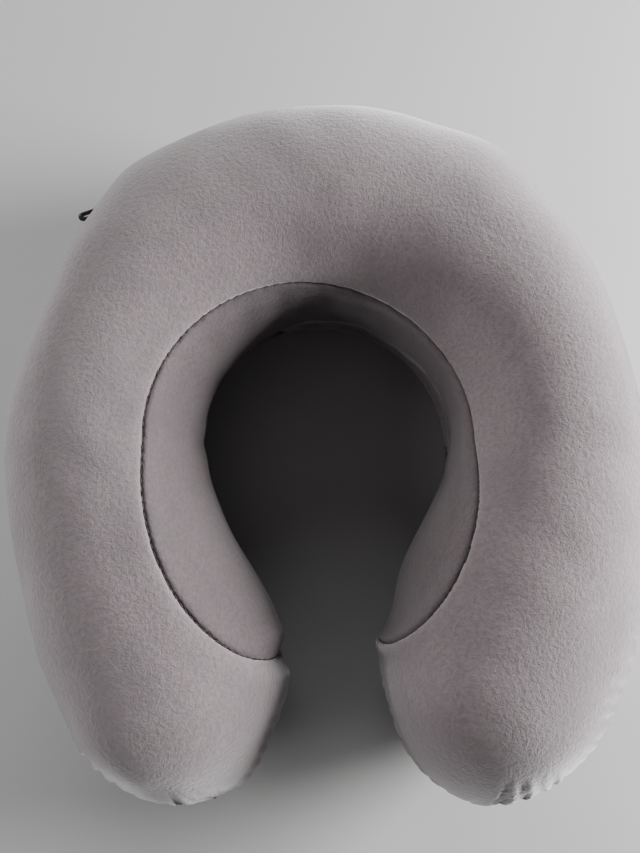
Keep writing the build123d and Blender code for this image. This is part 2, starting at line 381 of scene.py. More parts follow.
def outline_paths():
    """The edge seam seen from above, as points with their length along the seam."""
    right = half_stations()
    outer = [(x + half * dx, y + half * dy) for x, y, dx, dy, half, _ in right]
    inner = [(x - half * dx, y - half * dy) for x, y, dx, dy, half, _ in right]
    loop = [(-x, y) for x, y in outer[:0:-1]] + outer + inner[::-1] + [(-x, y) for x, y in inner[1:]]
    path = np.array(loop)
    length = np.concatenate([[0], np.cumsum(np.linalg.norm(np.diff(path, axis=0), axis=1))])
    return path, length


def length_along(points, path, length):
    """Seam length at the place of the path nearest to each point."""
    tree = kdtree.KDTree(len(path))
    for index, (x, y) in enumerate(path):
        tree.insert((x, y, 0), index)
    tree.balance()
    return np.array([length[tree.find((x, y, 0))[1]] for x, y in points[:, :2]])


def wavy(points, size, seed):
    """Smooth noise between about -1 and 1 at each point, with features of the given size."""
    offset = Vector((seed * 7.3, seed * 3.1, seed * 5.7))
    return np.array([noise.noise(Vector(point) / size + offset) for point in points])


# Places where the foam or the cover stands out or sinks: x, y, z, radius, amount, all in millimetres
HAND_SHAPING = (
    (-90, 123, 74, 19, 3.0),
    (-110, 101, 78, 13, -2.8),
    (-141, 66, 62, 26, -2.0),
    (94, 129, 66, 20, 3.2),
    (120, 100, 74, 18, -1.6),
    (141, 57, 60, 24, -2.0),
    (30, 160, 60, 22, 1.2),
    (-38, 156, 62, 20, 0.9),
    (66, 146, 70, 12, -1.4),
    (-62, 142, 66, 12, -1.3),
    (146, -30, 60, 34, 1.6),
    (-126, 58, 86, 34, -3.8),
    (-133, -68, 80, 46, -5.2),
    (-112, -122, 78, 26, -4.6),
    (-96, -146, 76, 22, -4.2),
    (-50, -157, 66, 22, 2.8),
    (-84, -150, 88, 12, -1.4),
    (-66, -150, 92, 9, -1.2),
    (-37, -148, 55, 16, 3.6),
    (58, -155, 66, 20, 4.0),
    (102, -145, 80, 18, -1.2),
    (128, -96, 76, 30, 2.4),
    (76, 125, 86, 20, 3.4),
    (0, 57, 24, 34, -4.4),
    (48, 38, 22, 24, -2.6),
    (60, 12, 30, 26, -2.4),
    (40, -62, 38, 20, 2.8),
    (-60, -6, 37, 18, 2.0),
    (-31, -76, 42, 32, 4.2),
    (-22, -98, 56, 30, 4.2),
    (25, -125, 49, 17, -3.2),
    (24, -100, 56, 28, -2.8),
    (-70, 40, 100, 26, -0.8),
    (8, 112, 108, 30, 0.9),
)
QUIET_BAND = 8 * MM
QUIET_REACH = 10 * MM
NECK_QUIET = 9 * MM
FREE_HEIGHT = 14 * MM
OUTER_BAND = 20 * MM
# Slow waviness all over, as (amount, size, seed)
WAVES = ((0.9 * MM, 46 * MM, 1), (0.45 * MM, 19 * MM, 2))


def shape_by_hand(form):
    """Unevenness that the simulation can't know: foam bulges, soft hollows and a slow waviness."""
    mesh = form.data
    points, normals = mesh_points(mesh), mesh_normals(mesh)
    free = smooth_step(points[:, 2] / FREE_HEIGHT)
    push = sum(amount * wavy(points, size, seed) for amount, size, seed in WAVES)
    for x, y, z, radius, amount in HAND_SHAPING:
        away = np.linalg.norm(points - np.array((x, y, z)) * MM, axis=1) / (radius * MM)
        push += amount * MM * np.exp(-(away**2))
    back_angle = np.abs(np.arctan2(points[:, 0], points[:, 1] - BACK_Y))
    outside = np.hypot(points[:, 0], points[:, 1] - BACK_Y) > BACK_RADIUS - OUTER_BAND
    near_zip = smooth_step((np.abs(points[:, 2] - SEAM_Z) - QUIET_BAND) / QUIET_REACH)
    quiet = np.where(outside & (back_angle < ZIP_HALF_ANGLE + 0.15), near_zip, 1.0)
    to_neck = np.abs(neck_field(points)) / neck_slope(points, normals)
    quiet *= smooth_step(to_neck / NECK_QUIET)
    place_points(mesh, points + normals * (push * free * quiet)[:, None])


def finish_with(piece, kind, **values):
    """Adds a modifier with its values and applies it."""
    bpy.context.view_layer.objects.active = piece
    bpy.ops.object.modifier_add(type=kind)
    modifier = piece.modifiers[-1]
    for label, value in values.items():
        setattr(modifier, label, value)
    bpy.ops.object.modifier_apply(modifier=modifier.name)


SEAM_BAND = 4.5 * MM
PROBE_STEP = 0.05 * MM
SNAP_SHARE = 0.28
MOVE_SHARE = 0.6
SHORTEST_LINE = 20


def cut_along(bm, field, where):
    """Splits every edge that crosses the zero line of a field, so that the mesh can part there."""
    points = np.array([vert.co[:] for vert in bm.verts])
    bm.verts.ensure_lookup_table()
    bm.verts.index_update()
    values = field(points)
    allowed = where(points)
    cuts, shares = [], {}
    on_line = bm.verts.layers.int.get("on_line") or bm.verts.layers.int.new("on_line")
    for vert in bm.verts:
        vert[on_line] = 0
        i = vert.index
        if not allowed[i] or not vert.link_edges:
            continue
        reach = min(edge.calc_length() for edge in vert.link_edges)
        if abs(values[i]) < SNAP_SHARE * reach:
            slope = (field(points[i] + PROBE_STEP * np.eye(3)) - values[i]) / PROBE_STEP
            normal = np.array(vert.normal)
            slope -= normal * slope.dot(normal)
            size = slope.dot(slope)
            if size > 0.05:
                move = -values[i] * slope / size
                if np.linalg.norm(move) < MOVE_SHARE * reach:
                    vert.co = Vector(points[i] + move)
                    values[i] = 0.0
                    vert[on_line] = 1
    for edge in bm.edges:
        a, b = edge.verts[0].index, edge.verts[1].index
        if not (allowed[a] and allowed[b]):
            continue
        if values[a] * values[b] < 0:
            cuts.append(edge)
            shares[edge] = float(values[a] / (values[a] - values[b]))
    made = bmesh.ops.bisect_edges(bm, edges=cuts, cuts=1, edge_percents=shares)
    for item in made["geom_split"]:
        if isinstance(item, bmesh.types.BMVert):
            item[on_line] = 1
    line = [vert for vert in bm.verts if vert[on_line]]
    bmesh.ops.connect_verts(bm, verts=line, check_degenerate=True)
    bm.normal_update()
    return seam_lines(bm, on_line)


def seam_lines(bm, on_line):
    """The cut just made, as lists of (point, surface normal) in order along each line."""
    left = {vert for vert in bm.verts if vert[on_line]}
    lines = []
    while left:
        ends = [vert for vert in left if sum(e.other_vert(vert) in left for e in vert.link_edges) == 1]
        vert = min(ends or left, key=lambda v: v.index)
        line = []
        while vert:
            left.discard(vert)
            line.append((vert.co.copy(), vert.normal.copy()))
            ahead = [e.other_vert(vert) for e in vert.link_edges if e.other_vert(vert) in left]
            vert = min(ahead, key=lambda v: (v.co - line[-1][0]).length) if ahead else None
        lines.append(line)
    return [line for line in lines if len(line) > SHORTEST_LINE]


def outside_neck(points):
    return neck_field(points) > -0.05 * MM


def everywhere(points):
    return np.ones(len(points), bool)


def above_seam(points):
    return points[:, 2] - SEAM_Z - slot_gap(points)


def below_seam(points):
    return SEAM_Z - slot_gap(points) - points[:, 2]


def refine_and_cut(form):
    """Finer faces beside the seams, then clean cuts along them."""
    bm = bmesh.new()
    bm.from_mesh(form.data)
    bm.normal_update()
    points = np.array([vert.co[:] for vert in bm.verts])
    normals = np.array([vert.normal[:] for vert in bm.verts])
    bm.verts.index_update()
    near = seam_distance(points, normals) < SEAM_BAND
    edges = [edge for edge in bm.edges if near[edge.verts[0].index] and near[edge.verts[1].index]]
    bmesh.ops.subdivide_edges(bm, edges=edges, cuts=1, use_grid_fill=True, smooth=0)
    bm.normal_update()
    bm.verts.index_update()
    neck_lines = cut_along(bm, neck_field, everywhere)
    edge_lines = cut_along(bm, above_seam, outside_neck)
    cut_along(bm, below_seam, outside_neck)
    bmesh.ops.triangulate(bm, faces=[face for face in bm.faces if len(face.verts) > 4])
    bm.normal_update()
    bm.to_mesh(form.data)
    bm.free()
    return neck_lines, edge_lines


ROLL = 2.1 * MM
HEM_ROLL = 1.3 * MM
COVER_THICKNESS = 1.6 * MM


def make_panel(form, name, keep):
    """One cover panel: the part of the form where keep is true, its edges rolled in to the seams."""
    panel = form.copy()
    panel.data = form.data.copy()
    panel.name = name
    panel.data.name = name
    bpy.context.scene.collection.objects.link(panel)
    bm = bmesh.new()
    bm.from_mesh(panel.data)
    centres = np.array([face.calc_center_median()[:] for face in bm.faces])
    wanted = keep(centres)
    bmesh.ops.delete(bm, geom=[face for face, stay in zip(bm.faces, wanted) if not stay], context="FACES")
    points = np.array([vert.co[:] for vert in bm.verts])
    normals = np.array([vert.normal[:] for vert in bm.verts])
    distance = seam_distance(points, normals)
    gap = slot_gap(points) if name != "velour_neck_panel" else np.zeros(len(points))
    roll = ROLL + (HEM_ROLL - ROLL) * smooth_step(gap / SLOT_HALF)
    share = np.clip(1 - distance / roll, 0, 1)
    sink = roll * (1 - np.sqrt(np.maximum(1 - share**2, 0)))
    for vert, depth, normal in zip(bm.verts, sink, normals):
        vert.co -= Vector(normal) * depth
    bm.to_mesh(panel.data)
    bm.free()
    finish_with(panel, "SOLIDIFY", thickness=COVER_THICKNESS, offset=-1, use_even_offset=False)
    smooth_faces(panel.data)
    return panel


def in_neck_panel(points):
    return neck_field(points) < 0


def in_top_panel(points):
    return (neck_field(points) >= 0) & (above_seam(points) > 0)


def in_base_panel(points):
    return (neck_field(points) >= 0) & (below_seam(points) > 0)


# Puckers where the cloth is gathered into the edge seam
PUCKER_PITCH = 8.4 * MM
PUCKER_DEPTH = 3.0 * MM
BACK_PUCKER_DEPTH = 0.2 * MM
PUCKER_REACH = 46 * MM
RIGHT_LOBE_X = 44 * MM
LEFT_LOBE_X = 30 * MM
LEFT_LOBE_Y = 128 * MM
LEFT_GATHER = 0.6
ARM_GATHER = 0.22
# How far the gathers run from the seam, in millimetres: everywhere, where gathered, and in the long folds
SHORT_RUN, GATHERED_RUN, LONG_RUN = 9, 15, 18


def gather_seam(form):
    """Small gathers that run from the edge seam, deepest and longest round the two lobes."""
    mesh = form.data
    points, normals = mesh_points(mesh), mesh_normals(mesh)
    path, length = outline_paths()
    edge = np.abs(np.abs(points[:, 2] - SEAM_Z) - slot_gap(points))
    near = np.nonzero((edge < PUCKER_REACH) & (neck_field(points) > 0))[0]
    close = points[near]
    along = length_along(close, path, length)
    phase = along / PUCKER_PITCH + 0.8 * wavy(close * np.array([1, 1, 0.15]), 24 * MM, 3)
    forward = smooth_step((BACK_Y - 40 * MM - close[:, 1]) / (60 * MM))
    right_side = smooth_step((close[:, 0] - RIGHT_LOBE_X) / (30 * MM))
    left_front = smooth_step((-close[:, 0] - LEFT_LOBE_X) / (20 * MM))
    left_front *= smooth_step((-close[:, 1] - LEFT_LOBE_Y) / (14 * MM))
    gathered = forward * np.maximum(right_side, np.maximum(LEFT_GATHER * left_front, ARM_GATHER))
    on_back = np.abs(np.arctan2(close[:, 0], close[:, 1] - BACK_Y)) < ZIP_HALF_ANGLE + 0.05
    uneven = np.clip(0.8 + 0.75 * wavy(close * np.array([1, 1, 0.1]), 27 * MM, 4), 0.2, 1.3)
    depth = np.where(on_back, BACK_PUCKER_DEPTH, PUCKER_DEPTH * (0.1 + 0.9 * gathered) * uneven)
    long_folds = smooth_step(0.6 + 1.1 * wavy(close * np.array([1, 1, 0]), 11 * MM, 5))
    spread = (SHORT_RUN + (GATHERED_RUN + LONG_RUN * long_folds) * gathered) * MM
    fade = np.exp(-((edge[near] / spread) ** 3))
    fold = 0.5 - 0.5 * np.cos(2 * math.pi * phase)
    push = np.zeros(len(points))
    push[near] = depth * (0.3 - fold**1.7) * fade
    to_neck = np.abs(neck_field(points)) / neck_slope(points, normals)
    push += 0.2 * MM * wavy(points, 5.5 * MM, 6) * np.exp(-((to_neck / (5 * MM)) ** 2))
    free = smooth_step(points[:, 2] / (10 * MM))
    place_points(mesh, points + normals * (push * free)[:, None])


# Layers under the cover, as (piece, CAD node, finish, depth below the cover's face)
INNER_LAYERS = (
    ("knitted_liner", "inner_liner", "liner_knit", 4.4 * MM),
    ("foam_block", "foam_core", "memory_foam", 5.6 * MM),
)


def make_inner_layer(form, name, depth):
    """A closed copy of the sewn form, set back under the cover by an even depth."""
    mesh = form.data.copy()
    mesh.name = name
    layer = new_object(name, mesh)
    points, normals = mesh_points(mesh), mesh_normals(mesh)
    place_points(mesh, points - normals * depth)
    smooth_faces(mesh)
    return layer


def press_flat(piece):
    """Nothing reaches below the surface that the pillow lies on."""
    points = mesh_points(piece.data)
    points[:, 2] = np.maximum(points[:, 2], 0)
    place_points(piece.data, points)


def begin_edit(piece):
    bpy.ops.object.select_all(action="DESELECT")
    piece.select_set(True)
    bpy.context.view_layer.objects.active = piece
    bpy.ops.object.mode_set(mode="EDIT")
    bpy.ops.mesh.select_mode(type="FACE")
    bpy.ops.mesh.select_all(action="DESELECT")


def end_edit():
    bpy.ops.object.mode_set(mode="OBJECT")
    bpy.ops.object.select_all(action="DESELECT")


def pick_faces(piece, wanted):
    """Selects just the faces whose centre and normal pass a test. Used in edit mode."""
    bm = bmesh.from_edit_mesh(piece.data)
    for face in bm.faces:
        face.select_set(bool(wanted(face.calc_center_median(), face.normal)))
    bmesh.update_edit_mesh(piece.data)


def draw_end(piece, side, steps):
    """Draws one end of a bar out along z. Each step is (length, widening, drop along x)."""
    begin_edit(piece)
    pick_faces(piece, lambda centre, normal: normal.z * side > 0.9)
    for length, widening, drop in steps:
        bpy.ops.mesh.extrude_region_move(TRANSFORM_OT_translate={"value": (-drop, 0, side * length)})
        bpy.ops.transform.resize(value=(widening, widening, 1))
    end_edit()


def model_stitch(length, thickness):
    """One lock stitch lying along z: a plump middle and two ends that dive into the cloth."""
    bpy.ops.object.select_all(action="DESELECT")
    bpy.ops.mesh.primitive_cylinder_add(vertices=6, radius=thickness / 2, depth=length * 0.4)
    stitch = bpy.context.object
    ends = ((length * 0.16, 0.92, thickness * 0.2), (length * 0.14, 0.7, thickness * 0.75))
    for side in (1, -1):
        draw_end(stitch, side, ends)
    return stitch


def model_tooth(width, wall, height):
    """One loop of the nylon coil standing along z, swollen at the head that meets the other row."""
    bpy.ops.object.select_all(action="DESELECT")
    bpy.ops.mesh.primitive_cylinder_add(vertices=8, radius=width / 2 * 0.86, depth=height * 0.5)
    tooth = bpy.context.object
    draw_end(tooth, 1, ((height * 0.12, 1.16, 0), (height * 0.12, 1.0, 0), (height * 0.07, 0.72, 0)))
    draw_end(tooth, -1, ((height * 0.12, 0.94, 0), (height * 0.07, 0.8, 0)))
    begin_edit(tooth)
    bpy.ops.mesh.select_all(action="SELECT")
    bpy.ops.transform.resize(value=(wall / width, 1, 1))
    end_edit()
    return tooth


def copies_in_rows(name, pattern, places):
    """One mesh of many copies of a small pattern. Each place is (point, x axis, y axis, z axis)."""
    shape = mesh_points(pattern.data)
    faces = [tuple(face.vertices) for face in pattern.data.polygons]
    points, loops = [], []
    for count, (point, across_x, across_y, across_z) in enumerate(places):
        turned = shape @ np.array([across_x[:], across_y[:], across_z[:]]) + np.array(point[:])
        points.append(turned)
        loops += [tuple(i + count * len(shape) for i in face) for face in faces]
    mesh = bpy.data.meshes.new(name)
    mesh.from_pydata(np.concatenate(points).tolist(), [], loops)
    smooth_faces(mesh)
    row = new_object(name, mesh)
    bpy.data.objects.remove(pattern)
    return row


def stitch_places(lines, pitch, depth, wanted):
    """Even places along sewn lines, sunk under the surface where a test on the point holds."""
    places = []
    for line in lines:
        travelled = 0.0
        for (start, normal), (end, _) in zip(line, line[1:]):
            step = (end - start).length
            travelled += step
            if travelled < pitch or step < 0.01 * MM or step > 3 * pitch:
                continue
            travelled = 0.0
            if wanted(start):
                along = (end - start).normalized()
                across = along.cross(normal).normalized()
                out = across.cross(along).normalized()
                places.append((start - normal * depth, out, across, along))
    return places


def smoothed(line, passes):
    """A sewn line with its small zigzags averaged out."""
    points = np.array([point[:] for point, _ in line])
    normals = np.array([normal[:] for _, normal in line])
    for _ in range(passes):
        points[1:-1] = (points[:-2] + 2 * points[1:-1] + points[2:]) / 4
        normals[1:-1] = (normals[:-2] + 2 * normals[1:-1] + normals[2:]) / 4
    return [(Vector(point), Vector(normal).normalized()) for point, normal in zip(points, normals)]


def back_line(form, height, half_angle):
    """A line round the back on the cover at one height, as points with their surface normals."""
    tree = BVHTree.FromObject(form, bpy.context.evaluated_depsgraph_get())
    line = []
    steps = round(half_angle * BACK_RADIUS / (0.5 * MM))
    for i in range(-steps, steps + 1):
        angle = half_angle * i / steps
        outward = Vector((-math.sin(angle), math.cos(angle), 0))
        start = Vector((0, BACK_Y, height)) + outward * (BACK_RADIUS + 20 * MM)
        point, normal, _, _ = tree.ray_cast(start, -outward)
        if point:
            line.append((point, normal))
    return line


def new_group(name, inputs, outputs):
    """An empty shader group with named sockets. Inputs are (name, type, value)."""
    group = bpy.data.node_groups.new(name, "ShaderNodeTree")
    for label, kind, value in inputs:
        socket = group.interface.new_socket(name=label, in_out="INPUT", socket_type=kind)
        if value is not None:
            socket.default_value = value
    for label, kind in outputs:
        group.interface.new_socket(name=label, in_out="OUTPUT", socket_type=kind)
    return group, group.nodes.new("NodeGroupInput"), group.nodes.new("NodeGroupOutput")


def set_inputs(node, values):
    for label, value in values.items():
        node.inputs[label].default_value = value


def math_node(tree, operation, first, second):
    node = tree.nodes.new("ShaderNodeMath")
    node.operation = operation
    for index, value in enumerate((first, second)):
        if isinstance(value, (int, float)):
            node.inputs[index].default_value = value
        else:
            tree.links.new(value, node.inputs[index])
    return node.outputs[0]


def spread_node(tree, value, low, high, to_low=0.0, to_high=1.0):
    node = tree.nodes.new("ShaderNodeMapRange")
    node.interpolation_type = "SMOOTHSTEP"
    tree.links.new(value, node.inputs["Value"])
    set_inputs(node, {"From Min": low, "From Max": high, "To Min": to_low, "To Max": to_high})
    return node.outputs["Result"]


def mix_colour(tree, amount, first, second):
    node = tree.nodes.new("ShaderNodeMix")
    node.data_type = "RGBA"
    for label, value in (("Factor", amount), ("A", first), ("B", second)):
        socket = node.inputs[label]
        if isinstance(value, (int, float)):
            socket.default_value = value
        elif isinstance(value, tuple):
            socket.default_value = (*value, 1.0)
        else:
            tree.links.new(value, socket)
    return node.outputs["Result"]


def noise_node(tree, vector, scale, detail=2.0, roughness=0.5, distortion=0.0):
    node = tree.nodes.new("ShaderNodeTexNoise")
    set_inputs(node, {"Scale": scale, "Detail": detail, "Roughness": roughness, "Distortion": distortion})
    tree.links.new(vector, node.inputs["Vector"])
    return node.outputs["Fac"]


def short_pile_group():
    """Short plush pile: clumps of fibres, fine fibre ends and patches brushed another way, with painted
    shade darkening the hollows between the clumps.
    """
    group, given, out = new_group(
        "short_plush_pile",
        [
            ("Vector", "NodeSocketVector", None),
            ("Pile Colour", "NodeSocketColor", (0.3, 0.26, 0.26, 1)),
            ("Hollow Shade Colour", "NodeSocketColor", (0.24, 0.2, 0.2, 1)),
            ("Brushed Colour", "NodeSocketColor", (0.24, 0.2, 0.2, 1)),
        ],
        [("Colour", "NodeSocketColor"), ("Height", "NodeSocketFloat"), ("Roughness", "NodeSocketFloat")],
    )
    vector = given.outputs["Vector"]
    warp = group.nodes.new("ShaderNodeTexNoise")
    warp.inputs["Scale"].default_value = 210
    group.links.new(vector, warp.inputs["Vector"])
    shift = group.nodes.new("ShaderNodeVectorMath")
    shift.operation = "MULTIPLY_ADD"
    shift.inputs[1].default_value = (0.0022, 0.0022, 0.0022)
    group.links.new(warp.outputs["Color"], shift.inputs[0])
    group.links.new(vector, shift.inputs[2])
    clumps = noise_node(group, shift.outputs["Vector"], 560, 2.0, 0.6)
    tufts = noise_node(group, shift.outputs["Vector"], 1500, 1.0, 0.5)
    fibres = noise_node(group, vector, 4200, 1.0, 0.6)
    height = math_node(group, "MULTIPLY", clumps, 0.6)
    height = math_node(group, "ADD", height, math_node(group, "MULTIPLY", tufts, 0.27))
    height = math_node(group, "ADD", height, math_node(group, "MULTIPLY", fibres, 0.13))
    group.links.new(height, out.inputs["Height"])
    patches = noise_node(group, vector, 15, 3.0, 0.55, 0.8)
    streaks = noise_node(group, vector, 52, 2.0, 0.5, 1.4)
    brushed = math_node(group, "MULTIPLY", patches, 0.72)
    brushed = math_node(group, "ADD", brushed, math_node(group, "MULTIPLY", streaks, 0.28))
    brushed = spread_node(group, brushed, 0.44, 0.68)
    group.links.new(spread_node(group, brushed, 0.0, 1.0, 0.9, 1.0), out.inputs["Roughness"])
    # Painted shade: the colour moves toward the hollow shade colour where the pile is low, in the hollows
    # between the clumps
    depth = spread_node(group, height, 0.36, 0.62)
    colour = mix_colour(group, depth, given.outputs["Hollow Shade Colour"], given.outputs["Pile Colour"])
    amount = math_node(group, "MULTIPLY", brushed, 0.7)
    colour = mix_colour(group, amount, colour, given.outputs["Brushed Colour"])
    group.links.new(colour, out.inputs["Colour"])
    return group


def new_material(name):
    material = bpy.data.materials.new(name)
    material.use_nodes = True
    tree = material.node_tree
    shader = tree.nodes["Principled BSDF"]
    place = tree.nodes.new("ShaderNodeTexCoord")
    return material, tree, shader, place.outputs["Object"]


def add_bump(tree, shader, height, strength, distance):
    bump = tree.nodes.new("ShaderNodeBump")
    set_inputs(bump, {"Strength": strength, "Distance": distance})
    tree.links.new(height, bump.inputs["Height"])
    tree.links.new(bump.outputs["Normal"], shader.inputs["Normal"])


# Colours of the pile; the hollow shade colour is painted shade for the hollows between the clumps
PILE_COLOURS = (
    ("Pile Colour", (0.285, 0.234, 0.241)),
    ("Hollow Shade Colour", (0.222, 0.180, 0.187)),
    ("Brushed Colour", (0.214, 0.176, 0.185)),
)


def velour_material(name, pile, painted_shade, sheen):
    """Mauve-grey velour: soft, matt and paler where the pile is seen edge-on."""
    material, tree, shader, place = new_material(name)
    node = tree.nodes.new("ShaderNodeGroup")
    node.node_tree = pile
    tree.links.new(place, node.inputs["Vector"])
    # Painted shade: the pile colours are scaled down by this factor, which makes a darker copy of the velour
    for socket, colour in PILE_COLOURS:
        node.inputs[socket].default_value = (*(painted_shade * part for part in colour), 1)
    tree.links.new(node.outputs["Colour"], shader.inputs["Base Color"])
    tree.links.new(node.outputs["Roughness"], shader.inputs["Roughness"])
    set_inputs(shader, {"Specular IOR Level": 0.12, "Sheen Weight": sheen, "Sheen Roughness": 0.5})
    set_inputs(shader, {"Sheen Tint": (1.0, 0.975, 0.97, 1)})
    add_bump(tree, shader, node.outputs["Height"], 0.85, 0.75 * MM)
    return material


def plain_cloth_material(name, colour, dark, scale, bump):
    """A fine plain weave or knit, for tape, thread, liner and foam skin."""
    material, tree, shader, place = new_material(name)
    grain = noise_node(tree, place, scale, 2.0)
    tone = spread_node(tree, grain, 0.35, 0.65)
    tree.links.new(mix_colour(tree, tone, dark, colour), shader.inputs["Base Color"])
    set_inputs(shader, {"Roughness": 0.9, "Sheen Weight": 0.2})
    add_bump(tree, shader, grain, 0.5, bump)
    return material


def nylon_material():
    """Dull black nylon, a little paler where light comes through the loops."""
    material, tree, shader, place = new_material("black_nylon")
    specks = noise_node(tree, place, 1600, 2.0)
    tone = spread_node(tree, specks, 0.4, 0.7)
    colour = mix_colour(tree, tone, (0.018, 0.017, 0.019), (0.05, 0.046, 0.05))
    tree.links.new(colour, shader.inputs["Base Color"])
    tree.links.new(spread_node(tree, specks, 0.3, 0.7, 0.32, 0.5), shader.inputs["Roughness"])
    add_bump(tree, shader, specks, 0.2, 0.05 * MM)
    return material


def enamel_material(name):
    """Black enamel on die-cast metal, lightly scuffed."""
    material, tree, shader, place = new_material(name)
    scuffs = noise_node(tree, place, 900, 3.0, 0.7)
    tone = spread_node(tree, scuffs, 0.55, 0.8)
    colour = mix_colour(tree, tone, (0.012, 0.012, 0.013), (0.05, 0.048, 0.047))
    tree.links.new(colour, shader.inputs["Base Color"])
    tree.links.new(spread_node(tree, scuffs, 0.3, 0.8, 0.28, 0.5), shader.inputs["Roughness"])
    shader.inputs["Metallic"].default_value = 0.3
    add_bump(tree, shader, scuffs, 0.15, 0.08 * MM)
    return material


def set_material(piece, material):
    piece.data.materials.clear()
    piece.data.materials.append(material)


def make_camera():
    camera = bpy.data.cameras.new("table_view")
    camera.lens = 29.1
    camera.sensor_width = 36
    camera.clip_start = 0.01
    thing = new_object("table_view", camera)
    thing.location = (-2.5 * MM, BACK_Y - 71.4 * MM, 375 * MM)
    thing.rotation_euler = (math.radians(10), 0, math.radians(-0.9))
    bpy.context.scene.camera = thing


LIGHT_COLOUR = (0.97, 0.99, 1.0)
AIM_HEIGHT = 50 * MM


def add_light(name, place, aim_x, size, power):
    light = bpy.data.lights.new(name, "AREA")
    light.shape = "DISK"
    light.size = size
    light.energy = power
    light.color = LIGHT_COLOUR
    thing = new_object(name, light)
    thing.location = place
    aim = Vector((aim_x, 0, AIM_HEIGHT))
    thing.rotation_euler = (aim - Vector(place)).to_track_quat("-Z", "Y").to_euler()


def make_studio():
    bpy.ops.mesh.primitive_plane_add(size=4, location=(0, 0, 0))
    floor = bpy.context.object
    floor.name = "studio_floor"
    material, _, shader, _ = new_material("pale_floor")
    set_inputs(shader, {"Base Color": (0.62, 0.61, 0.60, 1), "Roughness": 0.8})
    set_material(floor, material)
    floor.select_set(False)
    world = bpy.data.worlds.new("studio")
    bpy.context.scene.world = world
    world.use_nodes = True
    set_inputs(world.node_tree.nodes["Background"], {"Color": (0.94, 0.97, 1.0, 1), "Strength": 0.04})
    add_light("window_key", (0.80, 0.10, 0.28), 0.02, 0.42, 22.5)
    add_light("room_fill", (-1.2, 0.0, 0.46), 0, 1.0, 12.5)
    add_light("back_fill", (-0.2, 1.3, 0.6), 0, 1.0, 8.5)


make_camera()
make_studio()

form = build_form()
inflate(form)
shape_by_hand(form)
inner_layers = [make_inner_layer(form, name, depth) for name, _, _, depth in INNER_LAYERS]
finish_with(form, "SUBSURF", levels=1, render_levels=1)
gather_seam(form)
neck_lines, edge_lines = refine_and_cut(form)

# Painted shade: the neck panel gets a darker copy of the velour with its pile colours scaled down and its
# sheen lowered. This stands for the shade inside the neck hole and for the different lay of its nap.
NECK_PAINTED_SHADE = 0.58
pile = short_pile_group()
velour = velour_material("mauve_velour", pile, 1.0, 1.0)
shaded_neck_velour = velour_material("shaded_neck_velour", pile, NECK_PAINTED_SHADE, 0.4)
PANELS = (
    ("velour_neck_panel", in_neck_panel, "cover_neck_panel", shaded_neck_velour),
    ("velour_top_panel", in_top_panel, "cover_top_panel", velour),
    ("velour_base_panel", in_base_panel, "cover_base_panel", velour),
)
for name, keep, node, cloth in PANELS:
    panel = make_panel(form, name, keep)
    press_flat(panel)
    set_material(panel, cloth)
    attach(panel, "pillow")
    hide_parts(node)

THREAD_GRAIN = 3000
FINISHES = {
    "memory_foam": plain_cloth_material("cream_foam", (0.78, 0.74, 0.62), (0.66, 0.61, 0.48), 500, 0.3 * MM),
    "liner_knit": plain_cloth_material("white_knit", (0.8, 0.8, 0.8), (0.62, 0.62, 0.62), 1400, 0.15 * MM),
    "seam_thread": plain_cloth_material(
        "mauve_thread", (0.11, 0.09, 0.092), (0.05, 0.04, 0.042), THREAD_GRAIN, 0.1 * MM
    ),
    "zipper_thread": plain_cloth_material(
        "zipper_thread", (0.14, 0.12, 0.12), (0.07, 0.06, 0.06), THREAD_GRAIN, 0.1 * MM
    ),
    "zipper_tape": plain_cloth_material(
        "charcoal_tape", (0.075, 0.068, 0.07), (0.035, 0.03, 0.032), 2200, 0.12 * MM
    ),
    "zipper_coil": nylon_material(),
    "slider_metal": enamel_material("black_enamel"),
    "pull_metal": enamel_material("black_pull_enamel"),
}


def place_piece(piece, body, nodes, slot):
    """Finishes a piece, hangs it on its body and lets it stand for its CAD nodes."""
    set_material(piece, FINISHES[slot])
    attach(piece, body)
    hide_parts(*nodes)


for layer, (_, node, slot, _) in zip(inner_layers, INNER_LAYERS):
    press_flat(layer)
    place_piece(layer, "pillow", [node], slot)


# Thread in the seams and beside the zipper
STITCH_PITCH = 3.1 * MM
STITCH_LENGTH = 2.5 * MM
STITCH_THICKNESS = 0.5 * MM
STITCH_DEPTH = 1.15 * MM
TOPSTITCH_DEPTH = 0.1 * MM
TOPSTITCH_OFFSET = 2.6 * MM
TACK_DEPTH = 1.95 * MM
TACK_LENGTH = 6 * MM
TACK_THREADS = 5
TACK_SPACING = 0.42 * MM
TACK_INSET = 0.9 * MM
TABLE_ROOM = 3 * MM


def sewn_row(name, lines, depth, wanted, node, slot):
    places = stitch_places(lines, STITCH_PITCH, depth, wanted)
    row = copies_in_rows(name, model_stitch(STITCH_LENGTH, STITCH_THICKNESS), places)
    place_piece(row, "pillow", [node], slot)


def clear_of_zipper(point):
    return slot_gap(np.array([point[:]]))[0] == 0


def over_table(point):
    return point.z > TABLE_ROOM


